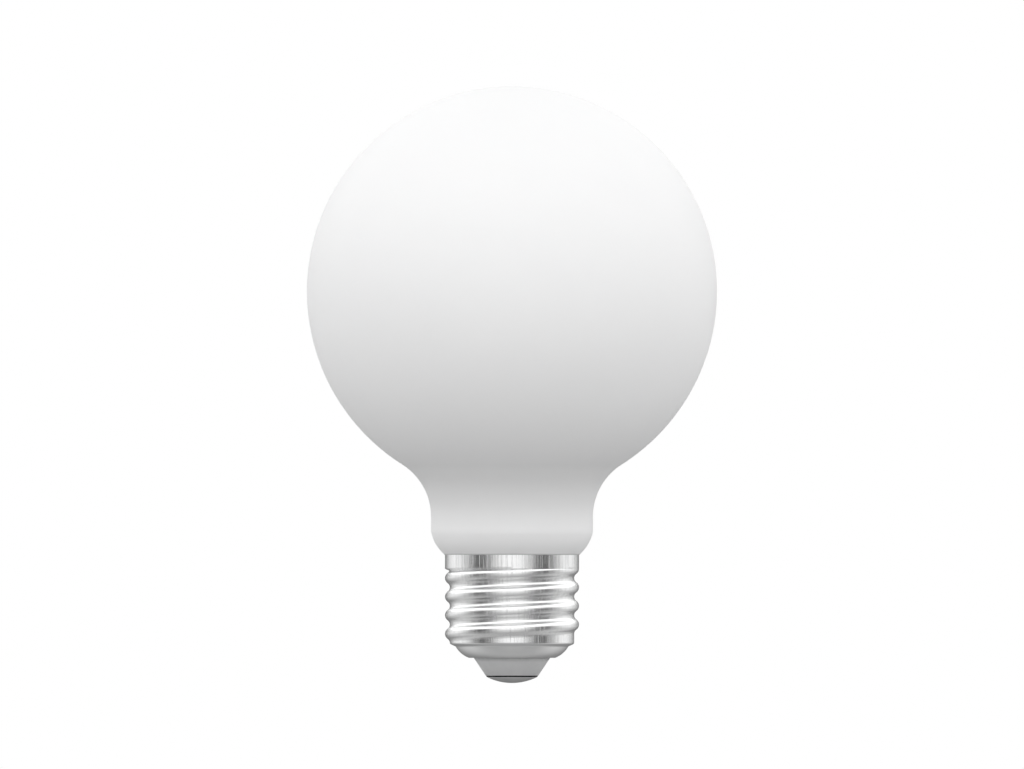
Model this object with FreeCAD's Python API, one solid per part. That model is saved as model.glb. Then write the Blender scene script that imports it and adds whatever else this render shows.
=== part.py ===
import FreeCAD, Part
import math
import os

# Opal globe lamp with a rolled screw cap, upright on its axis as it sits in a holder.
# Millimetres, +Z up. The origin is the tip of the centre contact, on the lamp's axis.
# The front, seen along +Y, shows the thread climbing from left to right.

# Blown envelope: globe, neck, shoulder and the spigot inside the cap
globe_diameter = 80.0
neck_diameter = 31.6
neck_fillet = 12.0
neck_length = 3.06
shoulder_height = 4.4
shoulder_bulge = 0.37
shoulder_overhang = 0.2
foot_rounding = 0.15
spigot_length = 9.0
spigot_rounding = 1.5
spigot_clearance = 0.25

# Screw shell, drawn and rolled from one thin sheet
cap_height = 25.0
sheet_thickness = 0.3
crest_diameter = 26.15
thread_depth = 0.945
thread_pitch = 3.629
crest_arc_radius = 1.2
crest_rise = 3.51
skirt_length = 2.65
fold_run = 0.6
bottom_run_out = 1.6
band_flattening = 0.3
end_height = 3.0
step_rounding = 0.4
step_slope = 25.0
step_width = 1.13
end_bulge = 0.3
lip_diameter = 16.8
lip_rounding = 0.45
shell_hole_diameter = 15.0

# Moulded insulator that stands out of the shell's hole
cone_height = 3.53
cone_end_diameter = 10.15
cone_clearance = 0.05
flange_thickness = 2.6
boss_height = 0.2
boss_inset = 0.1

# Nail contact pressed into the insulator
contact_height = 1.17
contact_inset = 0.25
contact_edge = 0.05
shank_diameter = 3.2
shank_clearance = 0.02
shank_stand = 1.8
shank_rounding = 0.5

# Bonding ring between the neck's spigot and the skirt
cement_depth = 2.0
cement_recess = 0.3

# Fineness of the rolled surface: control points round the shell, and their spacing in height
columns_around = 36
row_spacing = 0.2
# How far the plain skirt reaches into the rolled stretch, and how closely joined edges must agree
plain_margin = 0.3
join_tolerance = 1e-4

# Heights and radii worked out from the driving dimensions
cone_end_height = contact_height + boss_height
shell_bottom_height = cone_end_height + cone_height
band_foot_height = shell_bottom_height + end_height
crest_height = band_foot_height + crest_rise
skirt_foot_height = cap_height - skirt_length
neck_foot_height = cap_height + shoulder_height
crest_radius = crest_diameter / 2
root_radius = crest_radius - thread_depth
shell_hole_radius = shell_hole_diameter / 2
lip_radius = lip_diameter / 2
shank_radius = shank_diameter / 2
contact_radius = cone_end_diameter / 2 - contact_inset
spigot_radius = root_radius - sheet_thickness - spigot_clearance

axis_direction = FreeCAD.Vector(0, 0, 1)


def point(radius, height):
    return FreeCAD.Vector(radius, 0, height)


def on_circle(centre, radius, degrees):
    angle = math.radians(degrees)
    return centre + point(radius * math.cos(angle), radius * math.sin(angle))


def line(start, end):
    return Part.LineSegment(start, end).toShape()


def arc(centre, radius, first_degrees, last_degrees):
    """Arc of a half section, by its centre and the directions of its two ends."""
    start = on_circle(centre, radius, first_degrees)
    middle = on_circle(centre, radius, (first_degrees + last_degrees) / 2)
    end = on_circle(centre, radius, last_degrees)
    return Part.Arc(start, middle, end).toShape()


def direction_degrees(centre, target):
    return math.degrees(math.atan2(target.z - centre.z, target.x - centre.x))


def bulge_centre(start, end, bulge):
    """Centre of the arc from start down to end that stands out of the straight line by bulge."""
    chord = end - start
    outward = point(-chord.z, chord.x).normalize()
    radius = chord.Length ** 2 / (8 * bulge) + bulge / 2
    return (start + end) * 0.5 + outward * (bulge - radius)


def turned(edges):
    """Close a half section that starts and ends on one line and turn it once round the axis."""
    first = edges[0].valueAt(edges[0].FirstParameter)
    last = edges[-1].valueAt(edges[-1].LastParameter)
    section = Part.Face(Part.Wire(edges + [line(last, first)]))
    return section.revolve(FreeCAD.Vector(), axis_direction, 360)


def disc(radius, bottom, top):
    return Part.makeCylinder(radius, top - bottom, point(0, bottom))


def make_globe():
    """Blown opal glass: one skin from the crown to the spigot, sealed, so it is one solid."""
    globe_radius = globe_diameter / 2
    neck_radius = neck_diameter / 2
    # The fillet touches the neck and the sphere, so its centre is a fillet radius from both.
    fillet_centre = point(neck_radius + neck_fillet, neck_foot_height + neck_length)
    reach = globe_radius + neck_fillet
    globe_centre = point(0, fillet_centre.z + math.sqrt(reach ** 2 - fillet_centre.x ** 2))
    touch = direction_degrees(globe_centre, fillet_centre)
    # The shoulder is one arc, bulged out of the straight line from the neck to the foot.
    neck_foot = point(neck_radius, neck_foot_height)
    foot_radius = crest_radius + shoulder_overhang
    foot_centre = point(foot_radius - foot_rounding, cap_height + foot_rounding)
    foot_top = on_circle(foot_centre, foot_rounding, 0)
    shoulder_centre = bulge_centre(neck_foot, foot_top, shoulder_bulge)
    shoulder_radius = shoulder_centre.distanceToPoint(neck_foot)
    shoulder_start = direction_degrees(shoulder_centre, neck_foot)
    shoulder_end = direction_degrees(shoulder_centre, foot_top)
    spigot_end = cap_height - spigot_length
    spigot_centre = point(spigot_radius - spigot_rounding, spigot_end + spigot_rounding)
    return turned([
        arc(globe_centre, globe_radius, 90, 0),
        arc(globe_centre, globe_radius, 0, touch),
        arc(fillet_centre, neck_fillet, 180 + touch, 180),
        line(point(neck_radius, fillet_centre.z), neck_foot),
        arc(shoulder_centre, shoulder_radius, shoulder_start, shoulder_end),
        arc(foot_centre, foot_rounding, 0, -90),
        line(on_circle(foot_centre, foot_rounding, -90), point(spigot_radius, cap_height)),
        line(point(spigot_radius, cap_height), on_circle(spigot_centre, spigot_rounding, 0)),
        arc(spigot_centre, spigot_rounding, 0, -90),
        line(on_circle(spigot_centre, spigot_rounding, -90), point(0, spigot_end)),
    ])


def wave_radius(offset, inset):
    """Radius of the rolled wave at a height offset from its crest.

    Two tangent arcs fill each half pitch. Moving the wave inward by the inset, along its
    normal, only changes the radii of the arcs.
    """
    half_pitch = thread_pitch / 2
    lean = 2 * math.atan(thread_depth / half_pitch)
    root_arc_radius = half_pitch / math.sin(lean) - crest_arc_radius
    crest_arc = crest_arc_radius - inset
    root_arc = root_arc_radius + inset
    if offset < crest_arc * math.sin(lean):
        return crest_radius - crest_arc_radius + math.sqrt(crest_arc ** 2 - offset ** 2)
    return root_radius + root_arc_radius - math.sqrt(root_arc ** 2 - (half_pitch - offset) ** 2)


def eased(height, start, end):
    share = min(max((height - start) / (end - start), 0), 1)
    return share * share * (3 - 2 * share)


def rolled_radius(angle, height, inset):
    """Radius of the sheet: plain skirt at the top, right-hand thread, plain band at the foot.

    The skirt's foot folds in to the thread, over a height that is a set share of the depth it
    has to go. Below, the thread sinks into the band along the helix, by the height of the
    nearest crest, so it fades in its last half turn.
    """
    turns = (height - crest_height) / thread_pitch - angle / (2 * math.pi)
    above_crest = (turns - round(turns)) * thread_pitch
    wave = wave_radius(abs(above_crest), inset)
    fold_depth = crest_radius - inset - wave
    fold_height = max(fold_run * fold_depth, row_spacing)
    # The inside folds a little higher, so that the sheet keeps its thickness round the bend.
    fold_top = skirt_foot_height + inset * math.tan(math.atan(1 / fold_run) / 2)
    wave += fold_depth * eased(height, fold_top - fold_height, fold_top)
    thread_share = eased(height - above_crest, band_foot_height, band_foot_height + bottom_run_out)
    thread_share *= eased(height, band_foot_height, band_foot_height + band_flattening)
    return root_radius - inset + (wave - root_radius + inset) * thread_share


def rolled_body(inset):
    """Solid inside the rolled stretch: one smooth surface closed by a disc at each end."""
    bottom = band_foot_height
    top = skirt_foot_height + plain_margin
    degree = 3
    rows = math.ceil((top - bottom) / row_spacing)
    step = 2 * math.pi / columns_around
    # A closed cubic curve runs inside its control points by this share of their radius.
    pull = (2 + math.cos(step)) / 3
    row_knots = list(range(rows + 1))
    padded_knots = [0] * degree + row_knots + [rows] * degree
    columns = []
    for column in range(columns_around):
        angle = column * step
        control_points = []
        for row in range(rows + degree):
            share = sum(padded_knots[row + 1:row + 1 + degree]) / degree / rows
            height = bottom + (top - bottom) * share
            radius = rolled_radius(angle, height, inset) / pull
            x = radius * math.cos(angle)
            y = radius * math.sin(angle)
            control_points.append(FreeCAD.Vector(x, y, height))
        columns.append(control_points)
    surface = Part.BSplineSurface()
    surface.buildFromPolesMultsKnots(
        columns,
        [1] * (columns_around + 1),
        [degree + 1] + [1] * (rows - 1) + [degree + 1],
        list(range(columns_around + 1)),
        row_knots,
        True,
        False,
        degree,
        degree,
    )
    side = surface.toShape()
    ends = [Part.Face(Part.Wire([edge])) for edge in side.Edges if edge.isClosed()]
    skin = Part.Shell([side] + ends)
    skin.sewShape()
    return Part.Solid(skin)


def end_arcs():
    """Centres of the step, rounded end and lip, and the radius of the rounded end."""
    step_centre = point(root_radius - step_rounding, band_foot_height)
    step_end = on_circle(step_centre, step_rounding, step_slope - 90)
    crease_radius = root_radius - step_width
    fall = (step_end.x - crease_radius) * math.tan(math.radians(step_slope))
    crease = point(crease_radius, step_end.z - fall)
    # The rounded end is one bulged arc from the crease to the corner that the lip rounds off.
    end_centre = bulge_centre(crease, point(lip_radius, shell_bottom_height), end_bulge)
    end_radius = end_centre.distanceToPoint(crease)
    lip_height = shell_bottom_height + lip_rounding
    reach = end_radius - lip_rounding
    drop = end_centre.z - lip_height
    lip_centre = point(end_centre.x + math.sqrt(reach ** 2 - drop ** 2), lip_height)
    return step_centre, end_centre, lip_centre, end_radius


def ledge_end(start, centre, radius):
    """Where the sloping ledge that begins at start meets the circle of the rounded end."""
    slope = math.radians(step_slope)
    along = point(-math.cos(slope), -math.sin(slope))
    gap = start - centre
    half = gap.dot(along)
    return start + along * (-half - math.sqrt(half ** 2 - gap.dot(gap) + radius ** 2))


def end_body(inset):
    """Solid inside the closed end: step, ledge, rounded end and flat lip, moved in by inset."""
    step_centre, end_centre, lip_centre, end_radius = end_arcs()
    ledge_start = on_circle(step_centre, step_rounding - inset, step_slope - 90)
    crease = ledge_end(ledge_start, end_centre, end_radius - inset)
    crease_turn = direction_degrees(end_centre, crease)
    lip_turn = direction_degrees(end_centre, lip_centre)
    bottom = shell_bottom_height + inset
    return turned([
        line(point(0, band_foot_height), point(root_radius - inset, band_foot_height)),
        arc(step_centre, step_rounding - inset, 0, step_slope - 90),
        line(ledge_start, crease),
        arc(end_centre, end_radius - inset, crease_turn, lip_turn),
        arc(lip_centre, lip_rounding - inset, lip_turn, -90),
        line(point(lip_centre.x, bottom), point(0, bottom)),
    ])


def sheet_side(inset):
    """Everything inside one side of the sheet, from the closed end to the rim."""
    skirt = disc(crest_radius - inset, skirt_foot_height + plain_margin, cap_height)
    return rolled_body(inset).fuse([skirt, end_body(inset)], join_tolerance)


def make_screw_shell():
    """Drawn and rolled sheet: the same form inside and out, one sheet thickness apart."""
    hole = disc(shell_hole_radius, 0, band_foot_height)
    return sheet_side(0).cut(sheet_side(sheet_thickness)).cut(hole)


def make_insulator():
    """Moulded cone outside the shell, with a flange that seats on the flat lip inside it."""
    seat_height = shell_bottom_height + sheet_thickness
    flange_top_height = seat_height + flange_thickness
    flange_radius = end_arcs()[2].x
    hole_radius = shank_radius + shank_clearance
    cone_end_radius = cone_end_diameter / 2
    boss_radius = cone_end_radius - boss_inset
    cone_radius = shell_hole_radius - cone_clearance
    outline = [
        point(hole_radius, contact_height),
        point(boss_radius, contact_height),
        point(boss_radius, cone_end_height),
        point(cone_end_radius, cone_end_height),
        point(cone_radius, shell_bottom_height),
        point(cone_radius, seat_height),
        point(flange_radius, seat_height),
        point(flange_radius, flange_top_height),
        point(hole_radius, flange_top_height),
    ]
    return turned([line(start, end) for start, end in zip(outline, outline[1:])])


def make_centre_contact():
    """Nail contact: a domed head under the insulator's boss, and a shank up through its hole."""
    dome_height = contact_height - contact_edge
    dome_radius = (contact_radius ** 2 + dome_height ** 2) / (2 * dome_height)
    dome_centre = point(0, dome_radius)
    rim = point(contact_radius, dome_height)
    shank_top = shell_bottom_height + sheet_thickness + flange_thickness + shank_stand
    tip_centre = point(shank_radius - shank_rounding, shank_top - shank_rounding)
    return turned([
        arc(dome_centre, dome_radius, -90, direction_degrees(dome_centre, rim)),
        line(rim, point(contact_radius, contact_height)),
        line(point(contact_radius, contact_height), point(shank_radius, contact_height)),
        line(point(shank_radius, contact_height), on_circle(tip_centre, shank_rounding, 0)),
        arc(tip_centre, shank_rounding, 0, 90),
        line(on_circle(tip_centre, shank_rounding, 90), point(0, shank_top)),
    ])


def make_neck_cement():
    """Ring of cement that bonds the spigot to the inside of the skirt."""
    top = cap_height - cement_recess
    bottom = top - cement_depth
    outside = disc(crest_radius - sheet_thickness, bottom, top)
    return outside.cut(disc(spigot_radius, bottom, top))


pieces = {
    "opal_globe": make_globe(),
    "screw_shell": make_screw_shell(),
    "insulator": make_insulator(),
    "centre_contact": make_centre_contact(),
    "neck_cement": make_neck_cement(),
}
os.makedirs("parts", exist_ok=True)
for node, shape in pieces.items():
    shape.exportStep("parts/" + node + ".step")
    box = shape.optimalBoundingBox()
    low = [round(value, 2) for value in (box.XMin, box.YMin, box.ZMin)]
    high = [round(value, 2) for value in (box.XMax, box.YMax, box.ZMax)]
    print(node, "volume", round(shape.Volume, 1), "from", low, "to", high)
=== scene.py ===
# %% [markdown]
# # A lamp with an opal globe and a rolled screw cap
# The lamp is a blown globe of white glass on a thin metal cap, which ends in a grey cone and a
# domed contact. The solids of the lamp are made already, at their real size. This lesson models
# the surfaces that show with finer meshes in the same places, gives each its finish, and lights
# them as a plain studio picture.

# %% Start from the frame
import math
import bmesh
import bpy
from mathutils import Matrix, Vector


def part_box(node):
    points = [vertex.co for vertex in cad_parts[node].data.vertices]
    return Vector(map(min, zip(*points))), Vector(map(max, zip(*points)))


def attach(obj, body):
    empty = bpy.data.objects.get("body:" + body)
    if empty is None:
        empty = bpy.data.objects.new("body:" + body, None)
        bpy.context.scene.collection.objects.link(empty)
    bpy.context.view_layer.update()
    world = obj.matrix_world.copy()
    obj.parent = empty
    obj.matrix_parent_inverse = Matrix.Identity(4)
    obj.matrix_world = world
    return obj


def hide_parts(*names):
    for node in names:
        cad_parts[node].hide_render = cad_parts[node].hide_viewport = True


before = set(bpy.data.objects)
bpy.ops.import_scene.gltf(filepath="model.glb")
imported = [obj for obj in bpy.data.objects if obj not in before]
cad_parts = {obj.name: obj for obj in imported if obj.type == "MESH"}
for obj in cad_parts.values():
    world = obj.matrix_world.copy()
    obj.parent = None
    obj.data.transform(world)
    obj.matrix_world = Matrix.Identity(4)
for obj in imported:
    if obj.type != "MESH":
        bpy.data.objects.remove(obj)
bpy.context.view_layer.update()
mm = 0.001
print("nodes:", ", ".join(sorted(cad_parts)))

# %% [markdown]
# ## Sizes
# Whatever the solids can tell is read from their boxes, so the new surfaces can't drift from
# them. The rest is written once here, as the sizes that a drawing of the lamp would give.

# %% Sizes of the glass
globe_low, globe_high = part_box("opal_globe")
shell_low, shell_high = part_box("screw_shell")
insulator_low, insulator_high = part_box("insulator")
contact_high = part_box("centre_contact")[1]

globe_radius = globe_high.x
globe_centre_height = globe_high.z - globe_radius
neck_radius = 15.8 * mm
neck_fillet = 12 * mm
shoulder_height = 4.4 * mm
shoulder_bulge = 0.37 * mm
shoulder_overhang = 0.2 * mm
foot_rounding = 0.15 * mm
spigot_rounding = 1.5 * mm
spigot_clearance = 0.25 * mm
print("globe across", round(2 * globe_radius / mm, 2), "mm")

# %% Sizes of the cap
cap_height = shell_high.z
crest_radius = shell_high.x
sheet_thickness = 0.3 * mm
thread_depth = 0.945 * mm
thread_pitch = 3.629 * mm
crest_arc_radius = 1.2 * mm
root_radius = crest_radius - thread_depth
band_foot_height = shell_low.z + 3 * mm
crest_height = band_foot_height + 3.51 * mm
skirt_foot_height = cap_height - 2.65 * mm
fold_run = 0.6
shortest_fold = 0.05 * mm
bottom_run_out = 1.6 * mm
band_flattening = 0.3 * mm
shell_hole_radius = 7.5 * mm
cone_end_height = insulator_low.z + 0.2 * mm
print("cap height", round(cap_height / mm, 2), "mm")
print("crests across", round(2 * crest_radius / mm, 2), "mm")

# %% [markdown]
# ## Camera
# The picture shows the lamp square from the side, and its parallel lines stay parallel, as
# through a very long lens. An orthographic camera at the height of the picture's centre gives
# the same view. Its scale is the width of the picture at the lamp.

# %% Level camera without perspective
picture_width = 199.75 * mm
view_height = 58.23 * mm
camera_distance = 0.6

camera_data = bpy.data.cameras.new("level camera")
camera_data.type = "ORTHO"
camera_data.ortho_scale = picture_width
camera = bpy.data.objects.new("level camera", camera_data)
camera.location = (0, -camera_distance, view_height)
camera.rotation_euler = (math.radians(90), 0, 0)
bpy.context.scene.collection.objects.link(camera)
bpy.context.scene.camera = camera
print("one pixel is", round(picture_width / mm / 1024, 4), "mm")

# %% [markdown]
# ## Helpers for node trees
# Every finish is a small tree of nodes. One helper adds a node, sets what it is told and links
# what is a socket, so that each finish reads as a list of what it is made of.

# %% Adding nodes
def add_node(tree, kind, inputs=None, **settings):
    made = tree.nodes.new(kind)
    for name, value in settings.items():
        setattr(made, name, value)
    for name, value in (inputs or {}).items():
        if isinstance(value, bpy.types.NodeSocket):
            tree.links.new(value, made.inputs[name])
        else:
            made.inputs[name].default_value = value
    return made


def calculate(tree, operation, *values):
    inputs = dict(enumerate(values))
    return add_node(tree, "ShaderNodeMath", inputs, operation=operation).outputs[0]


def eased_share(tree, value, start, end):
    """0 at start and before it, 1 at end and past it, with a smooth rise between them."""
    inputs = {"Value": value, "From Min": start, "From Max": end}
    made = add_node(tree, "ShaderNodeMapRange", inputs, interpolation_type="SMOOTHSTEP")
    return made.outputs["Result"]


def blended(tree, share, first, second):
    inputs = {0: share, 2: first, 3: second}
    return add_node(tree, "ShaderNodeMix", inputs, data_type="FLOAT").outputs[0]


def three_axes(tree, vector):
    return add_node(tree, "ShaderNodeSeparateXYZ", {0: vector}).outputs


print("helpers for trees: add_node, calculate, eased_share, blended, three_axes")

# %% [markdown]
# ## Studio
# The lamp is lit on all sides by soft light that is strongest near the horizon and weak from
# straight above, so the white globe shades slowly from its crown to its neck and never burns
# out. The light is the same all round, so the lamp looks as good from behind.

# %% Light that falls on the lamp
side_light = 3.25
middle_light = 1.22
top_light = 0.6
# Heights on the sky, from 0 at the horizon to 1 straight up, over which the light changes
side_fade = (0.16, 0.0)
top_fade = (0.62, 0.80)


def light_on_lamp(tree, height):
    soft = blended(tree, eased_share(tree, height, *top_fade), middle_light, top_light)
    return blended(tree, eased_share(tree, height, *side_fade), soft, side_light)


print("light from the sides", side_light, "and from above", top_light)

# %% [markdown]
# ## Studio in the metal
# The metal shows the studio itself: bright screens in front, at the sides and overhead, with dark
# gaps between them, which draw the upright dark bands on the cap. Below the horizon lies a grey
# table, which mirrors the screens farther out. Light Path tells a mirrored ray from the light
# that falls on the lamp, so the metal can have its own surroundings. The camera sees plain
# white behind the lamp.

# %% Screens, gaps and table
brightest_screen = 1.25
overhead_light = 1.6
overhead_fade = (0.30, 0.58)
overhead_side_reach = 0.15
side_turns = (0.35, 0.7)
table_grey = 0.48
table_mirror = 0.49
far_table_share = 0.6
table_fade = (-0.05, -0.35)
far_table_fade = (-0.95, -0.60)
# Greys by how far a direction is turned from the camera's side (0) to straight behind (1)
screen_stops = [
    (0.0, 0.96), (0.08, 0.90), (0.18, 0.56), (0.235, 0.12), (0.39, 0.09),
    (0.45, 0.54), (0.63, 0.92), (0.76, 0.68), (0.90, 0.12)]


def ramp_of(tree, value, stops):
    made = add_node(tree, "ShaderNodeValToRGB", {"Fac": value})
    elements = made.color_ramp.elements
    while len(elements) < len(stops):
        elements.new(0.5)
    for element, (place, grey) in zip(elements, stops):
        element.position = place
        element.color = (grey, grey, grey, 1)
    return made.outputs["Color"]


def light_in_metal(tree, x, y, z):
    sideways = calculate(tree, "ABSOLUTE", x)
    forward = calculate(tree, "MULTIPLY", y, -1)
    turn = calculate(tree, "DIVIDE", calculate(tree, "ARCTAN2", sideways, forward), math.pi)
    screens = calculate(tree, "MULTIPLY", ramp_of(tree, turn, screen_stops), brightest_screen)

    # The overhead screen reaches lower at the sides and behind.
    at_sides = eased_share(tree, turn, *side_turns)
    side_reach = calculate(tree, "MULTIPLY", at_sides, overhead_side_reach)
    overhead = eased_share(tree, calculate(tree, "ADD", z, side_reach), *overhead_fade)
    above = blended(tree, overhead, screens, overhead_light)

    far_share = calculate(tree, "MULTIPLY", eased_share(tree, z, *far_table_fade), far_table_share)
    far_table = calculate(tree, "MULTIPLY", screens, table_mirror / far_table_share)
    table = blended(tree, far_share, table_grey, far_table)
    return blended(tree, eased_share(tree, z, *table_fade), above, table)


print("the metal mirrors", len(screen_stops), "steps of grey round the horizon")

# %% Sky of the studio
white_behind_lamp = 1.0


def light_the_world():
    world = bpy.data.worlds.new("soft studio")
    world.use_nodes = True
    tree = world.node_tree
    tree.nodes.clear()
    direction = add_node(tree, "ShaderNodeTexCoord").outputs["Generated"]
    x, y, z = three_axes(tree, direction)
    rays = add_node(tree, "ShaderNodeLightPath").outputs
    mirrored = light_in_metal(tree, x, y, z)
    strength = blended(tree, rays["Is Glossy Ray"], light_on_lamp(tree, z), mirrored)
    strength = blended(tree, rays["Is Camera Ray"], strength, white_behind_lamp)
    inputs = {"Color": (1, 1, 1, 1), "Strength": strength}
    background = add_node(tree, "ShaderNodeBackground", inputs)
    add_node(tree, "ShaderNodeOutputWorld", {"Surface": background.outputs[0]})
    bpy.context.scene.world = world


light_the_world()
print("sky has", len(bpy.context.scene.world.node_tree.nodes), "nodes")

# %% [markdown]
# ## Softbox
# One round area light hangs above and in front of the lamp. It adds a little light to the crown
# and gives the floor a soft shadow. The camera and the metal don't see it, because the metal has
# its own screens in the sky.

# %% Softbox overhead
softbox_width = 0.5
softbox_power = 0.9
softbox_place = Vector((0, -0.35, 0.9))

softbox_data = bpy.data.lights.new("softbox overhead", "AREA")
softbox_data.shape = "DISK"
softbox_data.size = softbox_width
softbox_data.energy = softbox_power
softbox = bpy.data.objects.new("softbox overhead", softbox_data)
softbox.location = softbox_place
towards_lamp = Vector((0, 0, view_height)) - softbox_place
softbox.rotation_euler = towards_lamp.to_track_quat("-Z", "Y").to_euler()
softbox.visible_glossy = False
softbox.visible_camera = False
bpy.context.scene.collection.objects.link(softbox)
print("softbox", softbox_width, "m across")

# %% [markdown]
# ## Floor
# The floor is a plain pale sheet. The camera sees it nearly white, while the light that it
# throws back up at the lamp is that of a greyer sheet, which gives the underside of the globe
# and of the threads their soft grey.

# %% Pale floor
floor_size = 6.0
floor_seen = 0.80
floor_thrown_back = 0.41
floor_roughness = 0.9
floor_gloss = 0.1

bpy.ops.mesh.primitive_plane_add(size=floor_size, location=(0, 0, 0))
floor = bpy.context.object
floor.name = "floor"
floor_paint = bpy.data.materials.new("floor paint")
floor_paint.use_nodes = True
floor_tree = floor_paint.node_tree
floor_shader = floor_tree.nodes["Principled BSDF"]
floor_rays = add_node(floor_tree, "ShaderNodeLightPath")
floor_grey = blended(floor_tree, floor_rays.outputs["Is Camera Ray"], floor_thrown_back, floor_seen)
all_grey = {0: floor_grey, 1: floor_grey, 2: floor_grey}
floor_colour = add_node(floor_tree, "ShaderNodeCombineColor", all_grey)
floor_tree.links.new(floor_colour.outputs[0], floor_shader.inputs["Base Color"])
floor_shader.inputs["Roughness"].default_value = floor_roughness
floor_shader.inputs["Specular IOR Level"].default_value = floor_gloss
floor.data.materials.append(floor_paint)
floor.visible_glossy = False
print("floor", floor_size, "m wide")

# %% [markdown]
# ## Helpers for modelling in rings
# The lamp is round, and glass blowing, sheet spinning and moulding all make it as a stack of
# rings. So a piece starts as a sphere or a circle, and its open rim is extruded and resized from
# ring to ring down the outline. That keeps clean squares all over, which bend light smoothly.

# %% Working on rims
columns = 192
hair = 0.001 * mm
last_ring_radius = 0.3 * mm


def open_for_editing(piece):
    bpy.ops.object.select_all(action="DESELECT")
    piece.select_set(True)
    bpy.context.view_layer.objects.active = piece
    bpy.ops.object.mode_set(mode="EDIT")
    bpy.ops.mesh.select_all(action="DESELECT")


def select_height(piece, height):
    mesh = bmesh.from_edit_mesh(piece.data)
    for vert in mesh.verts:
        vert.select_set(abs(vert.co.z - height) < hair)
    mesh.select_flush(True)
    bmesh.update_edit_mesh(piece.data)


def pull_rim(rings):
    """Extrude the selected rim from the first (radius, height) pair through all the others."""
    for (radius, height), (next_radius, next_height) in zip(rings, rings[1:]):
        move = {"value": (0, 0, next_height - height)}
        bpy.ops.mesh.extrude_region_move(TRANSFORM_OT_translate=move)
        share = next_radius / radius
        bpy.ops.transform.resize(value=(share, share, 1), center_override=(0, 0, next_height))


def new_circle(name, radius, height):
    bpy.ops.object.select_all(action="DESELECT")
    bpy.ops.mesh.primitive_circle_add(vertices=columns, radius=radius, location=(0, 0, height))
    piece = bpy.context.object
    piece.name = name
    bpy.ops.object.transform_apply(location=True, rotation=True, scale=True)
    return piece


def close_editing():
    bpy.ops.mesh.select_all(action="SELECT")
    bpy.ops.mesh.remove_doubles(threshold=hair)
    bpy.ops.mesh.normals_make_consistent(inside=False)
    bpy.ops.object.mode_set(mode="OBJECT")


print("each ring has", columns, "corners, one every", 360 / columns, "degrees")

# %% Outlines of arcs and straight runs
def arc_rings(centre, radius, first_degrees, last_degrees, steps):
    rings = []
    for step in range(steps + 1):
        angle = math.radians(first_degrees + (last_degrees - first_degrees) * step / steps)
        rings.append((centre[0] + radius * math.cos(angle), centre[1] + radius * math.sin(angle)))
    return rings


def straight_rings(start, end, steps):
    rings = []
    for step in range(1, steps + 1):
        share = step / steps
        radius = start[0] + (end[0] - start[0]) * share
        height = start[1] + (end[1] - start[1]) * share
        rings.append((radius, height))
    return rings


def degrees_to(centre, ring):
    return math.degrees(math.atan2(ring[1] - centre[1], ring[0] - centre[0]))


def bulge_circle(start, end, bulge):
    """Centre and radius of the arc from start down to end that stands out of its chord by bulge."""
    length = math.dist(start, end)
    radius = length ** 2 / (8 * bulge) + bulge / 2
    back = (radius - bulge) / length
    centre_radius = (start[0] + end[0]) / 2 - (start[1] - end[1]) * back
    centre_height = (start[1] + end[1]) / 2 - (end[0] - start[0]) * back
    return (centre_radius, centre_height), radius


print("an arc that stands 1 out of a chord of 4 has the radius", bulge_circle((0, 4), (0, 0), 1)[1])

# %% Rounding, shading and measuring
rounded_from_degrees = 30
sharp_from_degrees = 40


def round_edges(piece, width, steps):
    bevel = piece.modifiers.new("rounded edges", "BEVEL")
    bevel.width = width
    bevel.segments = steps
    bevel.limit_method = "ANGLE"
    bevel.angle_limit = math.radians(rounded_from_degrees)
    bpy.ops.object.modifier_apply(modifier=bevel.name)


def shade(piece):
    bpy.ops.object.select_all(action="DESELECT")
    piece.select_set(True)
    bpy.context.view_layer.objects.active = piece
    bpy.ops.object.shade_smooth_by_angle(angle=math.radians(sharp_from_degrees))


def measure(piece):
    mesh = bmesh.new()
    mesh.from_mesh(piece.data)
    open_edges = sum(not edge.is_manifold for edge in mesh.edges)
    triangles = sum(len(face.verts) - 2 for face in mesh.faces)
    volume = round(mesh.calc_volume(signed=True) / mm ** 3, 1)
    mesh.free()
    print(piece.name, "triangles", triangles, "open edges", open_edges, "volume", volume, "mm3")


print("an edge of", sharp_from_degrees, "degrees or more stays sharp")

# %% [markdown]
# ## The opal globe
# One blown envelope: a sphere that runs through a hollow curve into a short neck, swells to a
# shoulder and stands on the rim of the cap. Its spigot goes down into the cap. A sphere could be
# pulled out of shape by hand, but the hollow curve touches the sphere and the neck exactly, so
# the sphere is cut where they touch and its rim is pulled along the true arcs.

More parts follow.
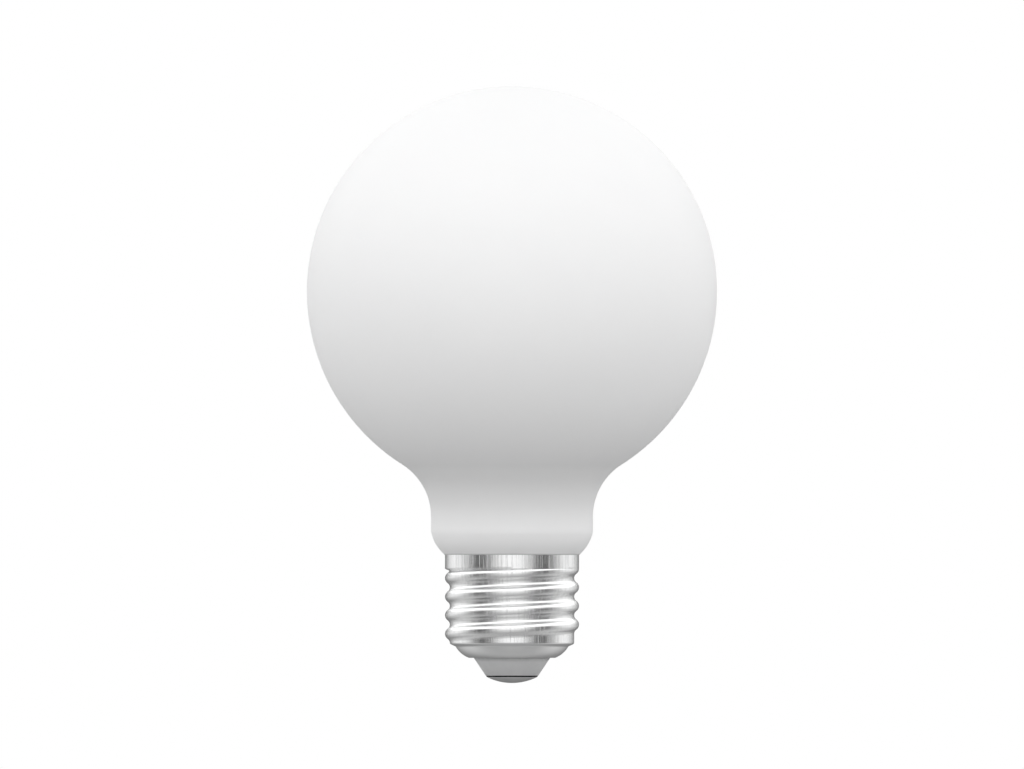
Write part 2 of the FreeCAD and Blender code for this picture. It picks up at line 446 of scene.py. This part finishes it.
# %% Outline from the sphere to the spigot
def below_the_sphere(fillet_centre, touch_degrees):
    """Rings from where the hollow curve touches the sphere down to the end of the spigot."""
    neck_foot = (neck_radius, cap_height + shoulder_height)
    foot_radius = crest_radius + shoulder_overhang
    foot_top = (foot_radius, cap_height + foot_rounding)
    foot_centre = (foot_radius - foot_rounding, foot_top[1])
    shoulder_centre, shoulder_radius = bulge_circle(neck_foot, foot_top, shoulder_bulge)
    shoulder_start = degrees_to(shoulder_centre, neck_foot)
    shoulder_end = degrees_to(shoulder_centre, foot_top)
    spigot_radius = root_radius - sheet_thickness - spigot_clearance
    spigot_end = globe_low.z
    spigot_centre = (spigot_radius - spigot_rounding, spigot_end + spigot_rounding)

    rings = arc_rings(fillet_centre, neck_fillet, 180 + touch_degrees, 180, steps=20)
    rings += straight_rings(rings[-1], neck_foot, steps=4)
    rings += arc_rings(shoulder_centre, shoulder_radius, shoulder_start, shoulder_end, steps=12)[1:]
    rings += arc_rings(foot_centre, foot_rounding, 0, -90, steps=4)[1:]
    rings += straight_rings(rings[-1], (spigot_radius, cap_height), steps=1)
    rings += straight_rings(rings[-1], (spigot_radius, spigot_centre[1]), steps=4)
    rings += arc_rings(spigot_centre, spigot_rounding, 0, -90, steps=6)[1:]
    rings += straight_rings(rings[-1], (last_ring_radius, spigot_end), steps=4)
    return rings


print("the neck is", round(2 * neck_radius / mm, 1), "mm across")

# %% Globe, neck and shoulder
def blow_globe():
    fillet_radius = neck_radius + neck_fillet
    drop = math.sqrt((globe_radius + neck_fillet) ** 2 - fillet_radius ** 2)
    fillet_centre = (fillet_radius, globe_centre_height - drop)
    touch_degrees = math.degrees(math.atan2(-drop, fillet_radius))
    touch_height = globe_centre_height + globe_radius * math.sin(math.radians(touch_degrees))

    bpy.ops.object.select_all(action="DESELECT")
    bpy.ops.mesh.primitive_uv_sphere_add(
        segments=columns, ring_count=96, radius=globe_radius, location=(0, 0, globe_centre_height))
    piece = bpy.context.object
    piece.name = "blown_globe"
    bpy.ops.object.transform_apply(location=True, rotation=True, scale=True)
    open_for_editing(piece)
    bpy.ops.mesh.select_all(action="SELECT")
    bpy.ops.mesh.bisect(plane_co=(0, 0, touch_height), plane_no=(0, 0, 1), clear_inner=True)
    select_height(piece, touch_height)
    pull_rim(below_the_sphere(fillet_centre, touch_degrees))
    bpy.ops.mesh.merge(type="CENTER")
    close_editing()
    return piece


blown_globe = blow_globe()
shade(blown_globe)
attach(blown_globe, "root")
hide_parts("opal_globe")
measure(blown_globe)

# %% [markdown]
# ## The screw shell
# The cap is a cup drawn from thin sheet. Its plain skirt holds the glass, a round thread is
# rolled into its wall, and its end turns in over a step to a flat lip round the insulator. The
# rim is extruded ring by ring down the outside of a straight cup and back up its inside. Then
# the thread is rolled by moving each vertex of the wall in or out, with the inside one sheet
# thickness from the outside.

# %% Wave of the rolled thread
def wave_radius(offset, inset):
    """Radius at a height offset from a crest: two arcs that touch fill each half pitch."""
    half_pitch = thread_pitch / 2
    lean = 2 * math.atan(thread_depth / half_pitch)
    root_arc_radius = half_pitch / math.sin(lean) - crest_arc_radius
    crest_arc = crest_arc_radius - inset
    root_arc = root_arc_radius + inset
    if offset < crest_arc * math.sin(lean):
        return crest_radius - crest_arc_radius + math.sqrt(crest_arc ** 2 - offset ** 2)
    return root_radius + root_arc_radius - math.sqrt(root_arc ** 2 - (half_pitch - offset) ** 2)


for wave_place, wave_offset in (("crest", 0), ("root", thread_pitch / 2)):
    print(wave_place, "radius", round(wave_radius(wave_offset, 0) / mm, 3), "mm")

# %% Thread between the skirt and the band
def eased(height, start, end):
    share = min(max((height - start) / (end - start), 0), 1)
    return share * share * (3 - 2 * share)


def fold_top(inset):
    """The inside of the sheet folds a little higher than the outside."""
    return skirt_foot_height + inset * math.tan(math.atan(1 / fold_run) / 2)


def rolled_radius(angle, height, inset):
    """Plain skirt at the top, right-hand thread, plain band at the foot.

    The skirt folds in to the thread over a height that grows with the depth it has to go. At the
    foot the thread sinks into the band along the helix, by the height of the nearest crest.
    """
    turns = (height - crest_height) / thread_pitch - angle / (2 * math.pi)
    above_crest = (turns - round(turns)) * thread_pitch
    wave = wave_radius(abs(above_crest), inset)
    fold_depth = crest_radius - inset - wave
    fold_height = max(fold_run * fold_depth, shortest_fold)
    wave += fold_depth * eased(height, fold_top(inset) - fold_height, fold_top(inset))
    share = eased(height - above_crest, band_foot_height, band_foot_height + bottom_run_out)
    share *= eased(height, band_foot_height, band_foot_height + band_flattening)
    return root_radius - inset + (wave - root_radius + inset) * share


print("the inside folds", round((fold_top(sheet_thickness) - fold_top(0)) / mm, 3), "mm higher")

# %% Turned-in end of the cup
step_rounding = 0.4 * mm
step_slope = 25
step_width = 1.13 * mm
end_bulge = 0.3 * mm
lip_radius = 8.4 * mm
lip_rounding = 0.45 * mm


def ledge_end(start, centre, radius):
    """Where the sloping ledge that begins at start meets the circle of the rounded end."""
    slope = math.radians(step_slope)
    along = Vector((-math.cos(slope), -math.sin(slope)))
    gap = Vector(start) - Vector(centre)
    half = gap.dot(along)
    return tuple(Vector(start) - along * (half + math.sqrt(half ** 2 - gap.dot(gap) + radius ** 2)))


def end_rings(inset):
    """Rings over the step, down the sloping ledge, round the end and in to the hole."""
    step_centre = (root_radius - step_rounding, band_foot_height)
    outer_step = arc_rings(step_centre, step_rounding, 0, step_slope - 90, steps=8)
    crease_radius = root_radius - step_width
    fall = (outer_step[-1][0] - crease_radius) * math.tan(math.radians(step_slope))
    outer_crease = (crease_radius, outer_step[-1][1] - fall)
    end_centre, end_radius = bulge_circle(outer_crease, (lip_radius, shell_low.z), end_bulge)
    lip_height = shell_low.z + lip_rounding
    drop = end_centre[1] - lip_height
    reach = math.sqrt((end_radius - lip_rounding) ** 2 - drop ** 2)
    lip_centre = (end_centre[0] + reach, lip_height)
    lip_turn = degrees_to(end_centre, lip_centre)

    rings = arc_rings(step_centre, step_rounding - inset, 0, step_slope - 90, steps=8)[1:]
    crease = ledge_end(rings[-1], end_centre, end_radius - inset)
    crease_turn = degrees_to(end_centre, crease)
    rings += straight_rings(rings[-1], crease, steps=2)
    rings += arc_rings(end_centre, end_radius - inset, crease_turn, lip_turn, steps=16)[1:]
    rings += arc_rings(lip_centre, lip_rounding - inset, lip_turn, -90, steps=6)[1:]
    rings += straight_rings(rings[-1], (shell_hole_radius, shell_low.z + inset), steps=2)
    return rings


print("the end turns in by", round((root_radius - shell_hole_radius) / mm, 2), "mm")

# %% Drawn cup with its rolled wall
outside_spacing = 0.13 * mm
inside_spacing = 0.26 * mm


def sheet_rings(inset, ring_spacing):
    """Rings from the rim of the skirt to the hole, moved in by inset, the wall still straight."""
    wall_radius = crest_radius - inset
    fold_foot = fold_top(inset) - fold_run * thread_depth
    fold_steps = round(fold_run * thread_depth / shortest_fold)
    wall_steps = round((fold_foot - band_foot_height) / ring_spacing)
    rings = [(wall_radius, cap_height)]
    rings += straight_rings(rings[-1], (wall_radius, fold_top(inset)), steps=6)
    rings += straight_rings(rings[-1], (wall_radius, fold_foot), fold_steps)
    rings += straight_rings(rings[-1], (wall_radius, band_foot_height), wall_steps)
    return rings + end_rings(inset)


def roll_shell():
    outside = sheet_rings(0, outside_spacing)
    inside = sheet_rings(sheet_thickness, inside_spacing)
    piece = new_circle("rolled_shell", crest_radius, cap_height)
    open_for_editing(piece)
    select_height(piece, cap_height)
    pull_rim(outside + inside[::-1] + outside[:1])
    close_editing()

    middle_of_sheet = crest_radius - sheet_thickness / 2
    for vert in piece.data.vertices:
        radius = math.hypot(vert.co.x, vert.co.y)
        inset = 0 if radius > middle_of_sheet else sheet_thickness
        if band_foot_height - hair < vert.co.z < fold_top(inset) + hair:
            stretch = rolled_radius(math.atan2(vert.co.y, vert.co.x), vert.co.z, inset) / radius
            vert.co.x *= stretch
            vert.co.y *= stretch
    return piece


rolled_shell = roll_shell()
shade(rolled_shell)
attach(rolled_shell, "root")
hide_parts("screw_shell")
measure(rolled_shell)

# %% [markdown]
# ## The insulator
# A grey moulded cone closes the cap and keeps its two contacts apart. Its flange sits inside on
# the lip, the cone stands out through the hole, and a low boss carries the contact. Its outline
# is closed on itself round the hole for the nail, and a small bevel rounds its moulded edges.

# %% Moulded cone
nail_hole_radius = 1.62 * mm
cone_end_radius = 5.075 * mm
boss_inset = 0.1 * mm
cone_clearance = 0.05 * mm
moulded_rounding = 0.045 * mm


def mould_insulator():
    boss_radius = cone_end_radius - boss_inset
    cone_radius = shell_hole_radius - cone_clearance
    flange_radius = insulator_high.x
    seat_height = shell_low.z + sheet_thickness
    corners = [
        (boss_radius, insulator_low.z),
        (boss_radius, cone_end_height),
        (cone_end_radius, cone_end_height),
        (cone_radius, shell_low.z),
        (cone_radius, seat_height),
        (flange_radius, seat_height),
        (flange_radius, insulator_high.z),
        (nail_hole_radius, insulator_high.z),
        (nail_hole_radius, insulator_low.z),
        (boss_radius, insulator_low.z),
    ]
    piece = new_circle("moulded_cone", boss_radius, insulator_low.z)
    open_for_editing(piece)
    select_height(piece, insulator_low.z)
    pull_rim(corners)
    close_editing()
    round_edges(piece, moulded_rounding, steps=2)
    return piece


moulded_cone = mould_insulator()
shade(moulded_cone)
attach(moulded_cone, "root")
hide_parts("insulator")
measure(moulded_cone)

# %% [markdown]
# ## The centre contact
# A nail with a wide, flat dome for its head is pressed into the insulator from below. The dome
# is part of a large sphere, so its rings follow that arc from the tip to the rim, and the rest
# goes up and in to the shank.

# %% Nail with a domed head
head_edge = 0.05 * mm
head_rounding = 0.02 * mm
shank_radius = 1.6 * mm
shank_rounding = 0.5 * mm


def nail_rings():
    head_radius = contact_high.x
    head_height = insulator_low.z
    dome_height = head_height - head_edge
    dome_radius = (head_radius ** 2 + dome_height ** 2) / (2 * dome_height)
    first_degrees = math.degrees(math.asin(last_ring_radius / dome_radius)) - 90
    rim_degrees = math.degrees(math.asin(head_radius / dome_radius)) - 90
    shank_centre = (shank_radius - shank_rounding, contact_high.z - shank_rounding)
    rings = arc_rings((0, dome_radius), dome_radius, first_degrees, rim_degrees, steps=14)
    rings += straight_rings(rings[-1], (head_radius, head_height), steps=1)
    rings += straight_rings(rings[-1], (shank_radius, head_height), steps=1)
    rings += straight_rings(rings[-1], (shank_radius, shank_centre[1]), steps=3)
    rings += arc_rings(shank_centre, shank_rounding, 0, 90, steps=4)[1:]
    rings += straight_rings(rings[-1], (last_ring_radius, contact_high.z), steps=1)
    return rings


def press_contact():
    rings = nail_rings()
    first_radius, first_height = rings[0]
    piece = new_circle("domed_nail", first_radius, first_height)
    open_for_editing(piece)
    select_height(piece, first_height)
    pull_rim(rings)
    bpy.ops.mesh.merge(type="CENTER")
    select_height(piece, first_height)
    bpy.ops.mesh.extrude_region_move(TRANSFORM_OT_translate={"value": (0, 0, -first_height)})
    bpy.ops.mesh.merge(type="CENTER")
    close_editing()
    round_edges(piece, head_rounding, steps=2)
    return piece


domed_nail = press_contact()
shade(domed_nail)
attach(domed_nail, "root")
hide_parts("centre_contact")
measure(domed_nail)

# %% [markdown]
# ## Shared effects
# Two effects are used by more than one finish, so each is a node group. One draws fine lines
# that run up the wall, as left by drawing sheet through a die: it spreads noise round the axis,
# stretches it upwards and makes its highest lines stand out more. The other is the slight mottle
# that keeps any real surface from one flat tone.

# %% Group of drawn lines
deep_line_fade = (0.56, 0.66)
deep_line_share = 0.22
next_to_nothing = 1e-12


def group_of(name, inputs, outputs):
    group = bpy.data.node_groups.new(name, "ShaderNodeTree")
    for socket_name, kind, value in inputs:
        socket = group.interface.new_socket(socket_name, in_out="INPUT", socket_type=kind)
        if value is not None:
            socket.default_value = value
    for socket_name, kind in outputs:
        group.interface.new_socket(socket_name, in_out="OUTPUT", socket_type=kind)
    return group, group.nodes.new("NodeGroupInput"), group.nodes.new("NodeGroupOutput")


def make_drawn_lines():
    group, given, result = group_of(
        "drawn lines",
        [("Vector", "NodeSocketVector", None),
         ("Fineness", "NodeSocketFloat", 60.0),
         ("Waver", "NodeSocketFloat", 60.0)],
        [("Lines", "NodeSocketFloat")])
    x, y, z = three_axes(group, given.outputs["Vector"])
    x_square = calculate(group, "MULTIPLY", x, x)
    y_square = calculate(group, "MULTIPLY", y, y)
    square = calculate(group, "ADD", x_square, y_square)
    radius = calculate(group, "SQRT", calculate(group, "ADD", square, next_to_nothing))
    spread = calculate(group, "DIVIDE", given.outputs["Fineness"], radius)
    place = add_node(group, "ShaderNodeCombineXYZ", {
        0: calculate(group, "MULTIPLY", x, spread),
        1: calculate(group, "MULTIPLY", y, spread),
        2: calculate(group, "MULTIPLY", z, given.outputs["Waver"])})
    inputs = {"Vector": place.outputs[0], "Scale": 1.0, "Detail": 4.0, "Roughness": 0.65}
    noise = add_node(group, "ShaderNodeTexNoise", inputs).outputs[0]
    deep = calculate(group, "MULTIPLY", eased_share(group, noise, *deep_line_fade), deep_line_share)
    group.links.new(calculate(group, "ADD", noise, deep), result.inputs["Lines"])
    return group


drawn_lines = make_drawn_lines()
print("group", drawn_lines.name, "has", len(drawn_lines.nodes), "nodes")

# %% Group of fine mottle
grain_to_cloud = 14


def make_fine_mottle():
    group, given, result = group_of(
        "fine mottle",
        [("Vector", "NodeSocketVector", None), ("Scale", "NodeSocketFloat", 400.0)],
        [("Cloud", "NodeSocketFloat"), ("Grain", "NodeSocketFloat")])
    place, scale = given.outputs["Vector"], given.outputs["Scale"]
    inputs = {"Vector": place, "Scale": scale, "Detail": 3.0, "Roughness": 0.5}
    cloud = add_node(group, "ShaderNodeTexNoise", inputs)
    fine_scale = calculate(group, "MULTIPLY", scale, grain_to_cloud)
    inputs = {"Vector": place, "Scale": fine_scale, "Detail": 2.0, "Roughness": 0.6}
    grain = add_node(group, "ShaderNodeTexNoise", inputs)
    group.links.new(cloud.outputs[0], result.inputs["Cloud"])
    group.links.new(grain.outputs[0], result.inputs["Grain"])
    return group


fine_mottle = make_fine_mottle()
print("group", fine_mottle.name, "has", len(fine_mottle.nodes), "nodes")

# %% Starting a finish
def new_finish(name):
    material = bpy.data.materials.new(name)
    material.use_nodes = True
    tree = material.node_tree
    place = add_node(tree, "ShaderNodeTexCoord").outputs["Object"]
    return material, tree, tree.nodes["Principled BSDF"], place


def use_group(tree, group, inputs):
    return add_node(tree, "ShaderNodeGroup", inputs, node_tree=group).outputs


def two_tone(tree, share, first, second):
    """A colour between two, each given as a socket or as red, green and blue."""
    inputs = {0: share}
    for place, tone in ((6, first), (7, second)):
        inputs[place] = tone if isinstance(tone, bpy.types.NodeSocket) else (*tone, 1)
    return add_node(tree, "ShaderNodeMix", inputs, data_type="RGBA").outputs[2]


def dimmed(tree, colour, kept):
    inputs = {0: colour, "Scale": kept}
    return add_node(tree, "ShaderNodeVectorMath", inputs, operation="SCALE").outputs[0]


def raise_surface(tree, shader, height, distance):
    bump = add_node(tree, "ShaderNodeBump", {"Height": height, "Distance": distance})
    tree.links.new(bump.outputs[0], shader.inputs["Normal"])


def give(piece, material):
    piece.data.materials.clear()
    piece.data.materials.append(material)


print("helpers for finishes: new_finish, use_group, two_tone, dimmed, raise_surface, give")

# %% [markdown]
# ## Opal glass
# The glass is white all through and etched to a satin, so it shows no mirror image of the
# studio, only a slow shading. It is too cloudy to see into, so a plain opaque shader stands for
# it. A faint cloud and a fine grain stand for the etching. Soft light alone leaves the neck too
# pale, so painted shade darkens the colour there, and a painted shadow darkens a thin line where
# the glass meets the cap.

# %% Finish of the globe
glass_tones = ((0.855, 0.857, 0.860), (0.880, 0.880, 0.880))
glass_roughness = (0.52, 0.62)
glass_gloss = 0.25
glass_cloud_scale = 60.0
etching_height = 0.002 * mm
# Painted shade: the colour is darker in the neck, under the overhang of the globe.
painted_neck_shade = 0.14
painted_neck_shade_top = (cap_height + 18.5 * mm, cap_height + 14 * mm)
painted_neck_shade_foot = (cap_height + 2.5 * mm, cap_height + 11 * mm)
# Painted shadow: a thin darker line where the glass meets the cap.
painted_joint_shadow = 0.38
painted_joint_shadow_line = (cap_height + 0.35 * mm, cap_height + 0.05 * mm)


def opal_glass():
    material, tree, shader, place = new_finish("opal glass")
    mottle = use_group(tree, fine_mottle, {"Vector": place, "Scale": glass_cloud_scale})
    colour = two_tone(tree, mottle["Cloud"], *glass_tones)
    height = three_axes(tree, place)[2]
    below_globe = eased_share(tree, height, *painted_neck_shade_top)
    above_shoulder = eased_share(tree, height, *painted_neck_shade_foot)
    # Painted shade in the neck darkens the colour.
    painted_neck_shade_mask = calculate(tree, "MULTIPLY", below_globe, above_shoulder)
    # Painted shadow in the joint with the cap darkens the colour.
    painted_joint_shadow_mask = eased_share(tree, height, *painted_joint_shadow_line)
    kept_under_painted_neck_shade = blended(tree, painted_neck_shade_mask, 1, 1 - painted_neck_shade)
    kept_under_painted_joint_shadow = blended(tree, painted_joint_shadow_mask, 1, 1 - painted_joint_shadow)
    colour = dimmed(tree, colour, calculate(tree, "MULTIPLY", kept_under_painted_neck_shade, kept_under_painted_joint_shadow))
    tree.links.new(colour, shader.inputs["Base Color"])
    roughness = blended(tree, mottle["Cloud"], *glass_roughness)
    tree.links.new(roughness, shader.inputs["Roughness"])
    shader.inputs["Specular IOR Level"].default_value = glass_gloss
    raise_surface(tree, shader, mottle["Grain"], etching_height)
    return material


give(blown_globe, opal_glass())
print("globe is opal glass")

# %% [markdown]
# ## Plated shell
# Thin sheet with a bright nickel plate. Drawing left fine upright lines on the plain skirt and
# band, and rolling left lines that follow the thread. The turned-in end was not drawn over the
# die, so it is smoother and duller. The lines along the thread are noise whose place across them
# turns once round a circle in each pitch, so that they follow the helix without a seam.

# %% Lines left by rolling
lines_across_thread = 9.0
lines_drift = 300.0


def lines_along_thread(tree, x, y, z):
    climb = calculate(tree, "MULTIPLY", z, 2 * math.pi / thread_pitch)
    across = calculate(tree, "SUBTRACT", climb, calculate(tree, "ARCTAN2", y, x))
    place = add_node(tree, "ShaderNodeCombineXYZ", {
        0: calculate(tree, "MULTIPLY", calculate(tree, "COSINE", across), lines_across_thread),
        1: calculate(tree, "MULTIPLY", calculate(tree, "SINE", across), lines_across_thread),
        2: calculate(tree, "MULTIPLY", z, lines_drift)})
    inputs = {"Vector": place.outputs[0], "Scale": 1.0, "Detail": 3.0, "Roughness": 0.6}
    return add_node(tree, "ShaderNodeTexNoise", inputs).outputs[0]


print("lines along the thread repeat every", thread_pitch / mm, "mm")

# %% Finish of the shell
plate_tones = ((0.78, 0.785, 0.79), (0.88, 0.88, 0.875))
plate_mottle_scale = 350.0
end_roughness = 0.32
wall_roughness = 0.20
line_roughness = 0.15
line_height = 0.03 * mm
line_fineness = 78.0
line_waver = 60.0
end_fade = (band_foot_height - 0.3 * mm, band_foot_height)
thread_foot_fade = (band_foot_height + bottom_run_out, crest_height)
thread_top_fade = (skirt_foot_height - 0.6 * mm, skirt_foot_height - 0.1 * mm)
upright_in_thread = 0.95
rolled_in_thread = 0.75


def plated_shell():
    material, tree, shader, place = new_finish("plated shell")
    x, y, z = three_axes(tree, place)
    above_end = eased_share(tree, z, *end_fade)
    above_band = eased_share(tree, z, *thread_foot_fade)
    above_thread = eased_share(tree, z, *thread_top_fade)
    in_thread = calculate(tree, "SUBTRACT", above_band, above_thread)

    inputs = {"Vector": place, "Fineness": line_fineness, "Waver": line_waver}
    upright = use_group(tree, drawn_lines, inputs)["Lines"]
    kept_in_thread = blended(tree, in_thread, 1.0, upright_in_thread)
    upright_share = calculate(tree, "MULTIPLY", above_end, kept_in_thread)
    rolled = calculate(tree, "MULTIPLY", lines_along_thread(tree, x, y, z), in_thread)
    height = calculate(
        tree, "ADD",
        calculate(tree, "MULTIPLY", upright, upright_share),
        calculate(tree, "MULTIPLY", rolled, rolled_in_thread))
    raise_surface(tree, shader, height, line_height)

    mottle = use_group(tree, fine_mottle, {"Vector": place, "Scale": plate_mottle_scale})
    colour = two_tone(tree, mottle["Cloud"], *plate_tones)
    tree.links.new(colour, shader.inputs["Base Color"])
    shader.inputs["Metallic"].default_value = 1.0
    satin = blended(tree, above_end, end_roughness, wall_roughness)
    duller = calculate(tree, "MULTIPLY", calculate(tree, "SUBTRACT", upright, 0.5), line_roughness)
    tree.links.new(calculate(tree, "ADD", satin, duller), shader.inputs["Roughness"])
    return material


give(rolled_shell, plated_shell())
print("shell is plated sheet")

# %% [markdown]
# ## Insulator, contact and cement
# The cone is a dull grey moulding with a slight speckle. Painted shade makes it a little darker
# close under the lip, and a painted shadow makes it nearly black in the seam above the contact.
# The contact is bare dull metal, with faint lines that run out from its tip. The cement is hidden
# in the cap and has a chalky finish. One grey could serve all three, but each catches the light
# in its own way, so each has its own tones, roughness and grain.

# %% Grey of the insulator
moulding_tones = ((0.60, 0.605, 0.61), (0.70, 0.70, 0.70))
moulding_roughness = (0.45, 0.65)
moulding_gloss = 0.15
speckle_scale = 500.0
speckle_height = 0.01 * mm
# Painted shade: the cone is darker close under the lip of the shell.
painted_shade_under_lip_fade = (shell_low.z - 0.9 * mm, shell_low.z)
kept_in_painted_shade_under_lip = 0.78
# Painted shadow: a nearly black band in the seam above the contact.
painted_seam_shadow_fade = (cone_end_height + 0.09 * mm, cone_end_height + 0.05 * mm)
painted_seam_shadow_black = (0.004, 0.004, 0.004)


def insulator_grey():
    material, tree, shader, place = new_finish("insulator grey")
    mottle = use_group(tree, fine_mottle, {"Vector": place, "Scale": speckle_scale})
    colour = two_tone(tree, mottle["Cloud"], *moulding_tones)
    height = three_axes(tree, place)[2]
    # Painted shade under the lip darkens the colour.
    painted_shade_under_lip = eased_share(tree, height, *painted_shade_under_lip_fade)
    colour = dimmed(tree, colour, blended(tree, painted_shade_under_lip, 1.0, kept_in_painted_shade_under_lip))
    # Painted shadow in the seam over the contact.
    colour = two_tone(tree, eased_share(tree, height, *painted_seam_shadow_fade), colour, painted_seam_shadow_black)
    tree.links.new(colour, shader.inputs["Base Color"])
    roughness = blended(tree, mottle["Grain"], *moulding_roughness)
    tree.links.new(roughness, shader.inputs["Roughness"])
    shader.inputs["Specular IOR Level"].default_value = moulding_gloss
    raise_surface(tree, shader, mottle["Grain"], speckle_height)
    return material


give(moulded_cone, insulator_grey())
print("cone is grey moulding")

# %% Metal of the contact
contact_tones = ((0.62, 0.625, 0.63), (0.80, 0.80, 0.795))
contact_roughness = (0.38, 0.52)
contact_mottle_scale = 600.0
contact_line_fineness = 20.0
contact_line_waver = 200.0
contact_line_height = 0.01 * mm


def contact_metal():
    material, tree, shader, place = new_finish("contact metal")
    mottle = use_group(tree, fine_mottle, {"Vector": place, "Scale": contact_mottle_scale})
    inputs = {"Vector": place, "Fineness": contact_line_fineness, "Waver": contact_line_waver}
    lines = use_group(tree, drawn_lines, inputs)["Lines"]
    colour = two_tone(tree, mottle["Cloud"], *contact_tones)
    tree.links.new(colour, shader.inputs["Base Color"])
    shader.inputs["Metallic"].default_value = 1.0
    roughness = blended(tree, mottle["Grain"], *contact_roughness)
    tree.links.new(roughness, shader.inputs["Roughness"])
    raise_surface(tree, shader, lines, contact_line_height)
    return material


give(domed_nail, contact_metal())
print("contact is dull metal")

# %% Chalk of the cement
cement_tones = ((0.60, 0.58, 0.54), (0.76, 0.74, 0.70))
cement_roughness = (0.75, 0.95)
cement_mottle_scale = 700.0
cement_grain_height = 0.03 * mm


def chalky_cement():
    material, tree, shader, place = new_finish("chalky cement")
    mottle = use_group(tree, fine_mottle, {"Vector": place, "Scale": cement_mottle_scale})
    colour = two_tone(tree, mottle["Cloud"], *cement_tones)
    tree.links.new(colour, shader.inputs["Base Color"])
    roughness = blended(tree, mottle["Grain"], *cement_roughness)
    tree.links.new(roughness, shader.inputs["Roughness"])
    raise_surface(tree, shader, mottle["Grain"], cement_grain_height)
    return material


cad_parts["neck_cement"].material_slots[0].material = chalky_cement()
print("cement is chalky")

# %% [markdown]
# ## View settings
# The Standard view shows each colour about as it is written. The boxes of the solids and of the
# finished surfaces are kept side by side. The lamp may not grow.

# %% View settings
bpy.context.scene.view_settings.view_transform = "Standard"
